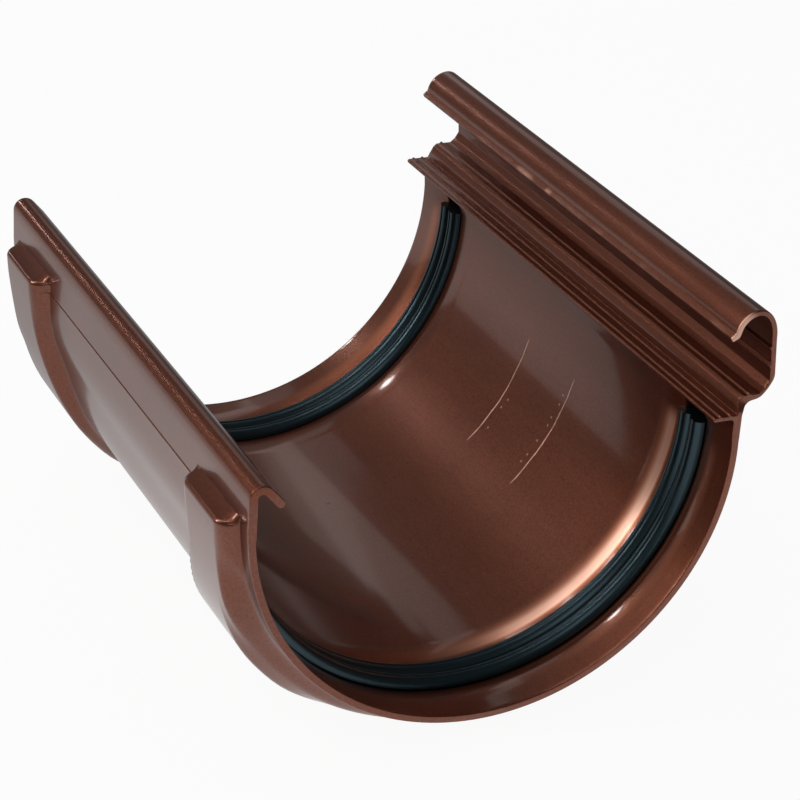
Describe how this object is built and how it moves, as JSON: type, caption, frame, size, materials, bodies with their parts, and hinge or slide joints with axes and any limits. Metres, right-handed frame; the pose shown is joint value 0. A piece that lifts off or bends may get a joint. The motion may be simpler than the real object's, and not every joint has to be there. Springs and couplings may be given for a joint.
{
  "type": "gutter union",
  "caption": "Half-round gutter union that joins two gutter lengths end to end, with a rolled lip, a snap clip and ribbed rubber seals in raised seats.",
  "frame": {"origin": "on the axis of the round rims, half way along the body", "axes": "+Y along the gutter, +Z towards the open side, +X towards the hooked clip"},
  "size_m": [0.1427, 0.1796, 0.1058],
  "materials": {
    "brown_moulding": "glossy dark brown moulding with a soft copper sheen",
    "seal_near_rubber": "smooth green-black rubber",
    "seal_far_rubber": "smooth green-black rubber"
  },
  "bodies": {
    "root": {"union_body": "brown_moulding", "seal_near": "seal_near_rubber", "seal_far": "seal_far_rubber"}
  },
  "joints": []
}
